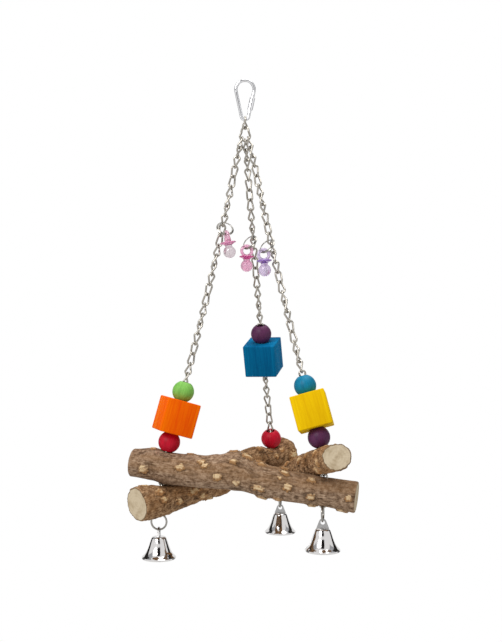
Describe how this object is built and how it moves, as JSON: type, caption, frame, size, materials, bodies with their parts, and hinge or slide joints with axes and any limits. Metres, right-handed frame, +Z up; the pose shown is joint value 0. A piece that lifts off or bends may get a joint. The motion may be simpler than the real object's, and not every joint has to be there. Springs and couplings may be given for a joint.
{
  "type": "bird_swing",
  "caption": "Hanging triangle perch for a pet bird: bark-covered branches on twisted chains, with dyed wooden blocks and beads, moulded charms and bells under a quick link",
  "frame": {"origin": "the top inside of the quick link's wide bend, where the swing hangs", "axes": "+Z up, along the hang; +X to the right in the picture; -Y is the front, towards the camera"},
  "size_m": [0.1661, 0.1638, 0.354],
  "materials": {
    "bright_link": "polished",
    "bright_sleeve": "polished",
    "chain_steel": "nickel plated, bright",
    "ring_steel": "nickel plated, bright",
    "bell_chrome": "polished",
    "lug_steel": "plated",
    "clapper_steel": "plated",
    "charm_pink": "clear moulded",
    "charm_rose": "clear moulded",
    "charm_lavender": "clear moulded",
    "green_wood": "dyed",
    "red_wood": "dyed",
    "purple_wood": "dyed",
    "teal_wood": "dyed",
    "orange_wood": "dyed",
    "blue_wood": "dyed",
    "yellow_wood": "dyed",
    "grey_bark": "raw bark",
    "brown_bark": "raw bark"
  },
  "bodies": {
    "hook": {"quick_link": "bright_link"},
    "sleeve": {"sleeve_nut": "bright_sleeve"},
    "upper_link": {"top_link": "chain_steel"},
    "gather_link": {"junction_link": "chain_steel"},
    "swing": {"left_chain": "chain_steel", "back_chain": "chain_steel", "right_chain": "chain_steel", "front_perch": "grey_bark", "left_perch": "brown_bark", "right_perch": "brown_bark"},
    "left_charm_ring": {"left_charm_ring": "ring_steel"},
    "left_charm": {"left_charm": "charm_pink"},
    "middle_charm_ring": {"middle_charm_ring": "ring_steel"},
    "middle_charm": {"middle_charm": "charm_rose"},
    "right_charm_ring": {"right_charm_ring": "ring_steel"},
    "right_charm": {"right_charm": "charm_lavender"},
    "left_red_bead": {"left_red_bead": "red_wood"},
    "orange_block": {"orange_block": "orange_wood"},
    "green_bead": {"green_bead": "green_wood"},
    "right_purple_bead": {"right_purple_bead": "purple_wood"},
    "yellow_block": {"yellow_block": "yellow_wood"},
    "teal_bead": {"teal_bead": "teal_wood"},
    "back_red_bead": {"back_red_bead": "red_wood"},
    "blue_block": {"blue_block": "blue_wood"},
    "back_purple_bead": {"back_purple_bead": "purple_wood"},
    "left_bell_ring": {"left_bell_ring": "ring_steel"},
    "left_bell": {"left_bell": "bell_chrome", "left_bell_lug": "lug_steel"},
    "left_clapper": {"left_clapper": "clapper_steel"},
    "back_bell_ring": {"back_bell_ring": "ring_steel"},
    "back_bell": {"back_bell": "bell_chrome", "back_bell_lug": "lug_steel"},
    "back_clapper": {"back_clapper": "clapper_steel"},
    "right_bell_ring": {"right_bell_ring": "ring_steel"},
    "right_bell": {"right_bell": "bell_chrome", "right_bell_lug": "lug_steel"},
    "right_clapper": {"right_clapper": "clapper_steel"}
  },
  "joints": [
    {"name": "sleeve_slide", "type": "slide", "parent": "hook", "child": "sleeve", "axis": [-0.2111, 0, -0.9775], "range_m": [0, 0.0052]},
    {"name": "upper_link_hinge", "type": "hinge", "parent": "hook", "child": "upper_link", "pos_m": [0, 0, -0.02815], "axis": [1, 0, 0], "range_deg": [-25, 25]},
    {"name": "gather_swivel", "type": "hinge", "parent": "upper_link", "child": "gather_link", "pos_m": [0, 0, -0.03438], "axis": [0, 0, 1], "range_deg": [-20, 20]},
    {"name": "swing_hinge", "type": "hinge", "parent": "gather_link", "child": "swing", "pos_m": [0, 0, -0.04034], "axis": [0, 1, 0], "range_deg": [-12, 12]},
    {"name": "left_charm_ring_hinge", "type": "hinge", "parent": "swing", "child": "left_charm_ring", "pos_m": [-0.01557, -0.00539, -0.10667], "axis": [-0.2695, 0.7405, -0.6157], "range_deg": [-4, 3]},
    {"name": "left_charm_hinge", "type": "hinge", "parent": "left_charm_ring", "child": "left_charm", "pos_m": [-0.01341, -0.01135, -0.11479], "axis": [0.9397, 0.342, 0], "range_deg": [-25, 1]},
    {"name": "middle_charm_ring_hinge", "type": "hinge", "parent": "swing", "child": "middle_charm_ring", "pos_m": [0.00532, 0.01664, -0.11501], "axis": [0.5862, 0.5862, -0.5592], "range_deg": [-8, 8]},
    {"name": "middle_charm_hinge", "type": "hinge", "parent": "middle_charm_ring", "child": "middle_charm", "pos_m": [0.00125, 0.01257, -0.12355], "axis": [0.7071, -0.7071, 0], "range_deg": [-25, 20]},
    {"name": "right_charm_ring_hinge", "type": "hinge", "parent": "swing", "child": "right_charm_ring", "pos_m": [0.01815, -0.01451, -0.12033], "axis": [0.5572, 0.5572, -0.6157], "range_deg": [-2, 6]},
    {"name": "right_charm_hinge", "type": "hinge", "parent": "right_charm_ring", "child": "right_charm", "pos_m": [0.01366, -0.01899, -0.12845], "axis": [0.7071, -0.7071, 0], "range_deg": [-25, 3]},
    {"name": "left_red_bead_spin", "type": "hinge", "parent": "swing", "child": "left_red_bead", "pos_m": [-0.05518, -0.01829, -0.26702], "axis": [0.2623, 0.0915, 0.9606], "continuous": true},
    {"name": "orange_block_spin", "type": "hinge", "parent": "swing", "child": "orange_block", "pos_m": [-0.05019, -0.01656, -0.24877], "axis": [0.2623, 0.0915, 0.9606], "continuous": true},
    {"name": "green_bead_spin", "type": "hinge", "parent": "swing", "child": "green_bead", "pos_m": [-0.04521, -0.01482, -0.23053], "axis": [0.2623, 0.0915, 0.9606], "continuous": true},
    {"name": "right_purple_bead_spin", "type": "hinge", "parent": "swing", "child": "right_purple_bead", "pos_m": [0.0525, -0.04326, -0.26084], "axis": [-0.2466, 0.2146, 0.9451], "continuous": true},
    {"name": "yellow_block_spin", "type": "hinge", "parent": "swing", "child": "yellow_block", "pos_m": [0.04782, -0.03919, -0.24289], "axis": [-0.2466, 0.2146, 0.9451], "continuous": true},
    {"name": "teal_bead_spin", "type": "hinge", "parent": "swing", "child": "teal_bead", "pos_m": [0.04314, -0.03511, -0.22493], "axis": [-0.2466, 0.2146, 0.9451], "continuous": true},
    {"name": "back_red_bead_spin", "type": "hinge", "parent": "swing", "child": "back_red_bead", "pos_m": [0.02074, 0.06173, -0.27349], "axis": [-0.0979, -0.2933, 0.951], "continuous": true},
    {"name": "blue_block_spin", "type": "hinge", "parent": "swing", "child": "blue_block", "pos_m": [0.01416, 0.042, -0.207], "axis": [-0.0907, -0.2717, 0.9581], "continuous": true},
    {"name": "back_purple_bead_spin", "type": "hinge", "parent": "swing", "child": "back_purple_bead", "pos_m": [0.01245, 0.03689, -0.18879], "axis": [-0.0883, -0.2645, 0.9603], "continuous": true},
    {"name": "left_bell_ring_hinge", "type": "hinge", "parent": "swing", "child": "left_bell_ring", "pos_m": [-0.0625, -0.0208, -0.32071], "axis": [0.0873, 0.9962, 0], "range_deg": [-8, 8]},
    {"name": "left_bell_hinge", "type": "hinge", "parent": "left_bell_ring", "child": "left_bell", "pos_m": [-0.0625, -0.0208, -0.33043], "axis": [0.9962, -0.0873, 0], "range_deg": [-30, 30]},
    {"name": "left_clapper_hinge", "type": "hinge", "parent": "left_bell", "child": "left_clapper", "pos_m": [-0.0625, -0.0208, -0.33893], "axis": [0.9962, -0.0873, 0], "range_deg": [-30, 30]},
    {"name": "back_bell_ring_hinge", "type": "hinge", "parent": "swing", "child": "back_bell_ring", "pos_m": [0.0282, 0.066, -0.31955], "axis": [0.9882, -0.1533, 0], "range_deg": [-8, 8]},
    {"name": "back_bell_hinge", "type": "hinge", "parent": "back_bell_ring", "child": "back_bell", "pos_m": [0.0282, 0.066, -0.32927], "axis": [-0.1533, -0.9882, 0], "range_deg": [-30, 30]},
    {"name": "back_clapper_hinge", "type": "hinge", "parent": "back_bell", "child": "back_clapper", "pos_m": [0.0282, 0.066, -0.33777], "axis": [-0.1533, -0.9882, 0], "range_deg": [-30, 30]},
    {"name": "right_bell_ring_hinge", "type": "hinge", "parent": "swing", "child": "right_bell_ring", "pos_m": [0.055, -0.0454, -0.3101], "axis": [0.985, -0.1723, 0], "range_deg": [-8, 8]},
    {"name": "right_bell_hinge", "type": "hinge", "parent": "right_bell_ring", "child": "right_bell", "pos_m": [0.055, -0.0454, -0.31982], "axis": [-0.1723, -0.985, 0], "range_deg": [-30, 30]},
    {"name": "right_clapper_hinge", "type": "hinge", "parent": "right_bell", "child": "right_clapper", "pos_m": [0.055, -0.0454, -0.32832], "axis": [-0.1723, -0.985, 0], "range_deg": [-30, 30]}
  ]
}
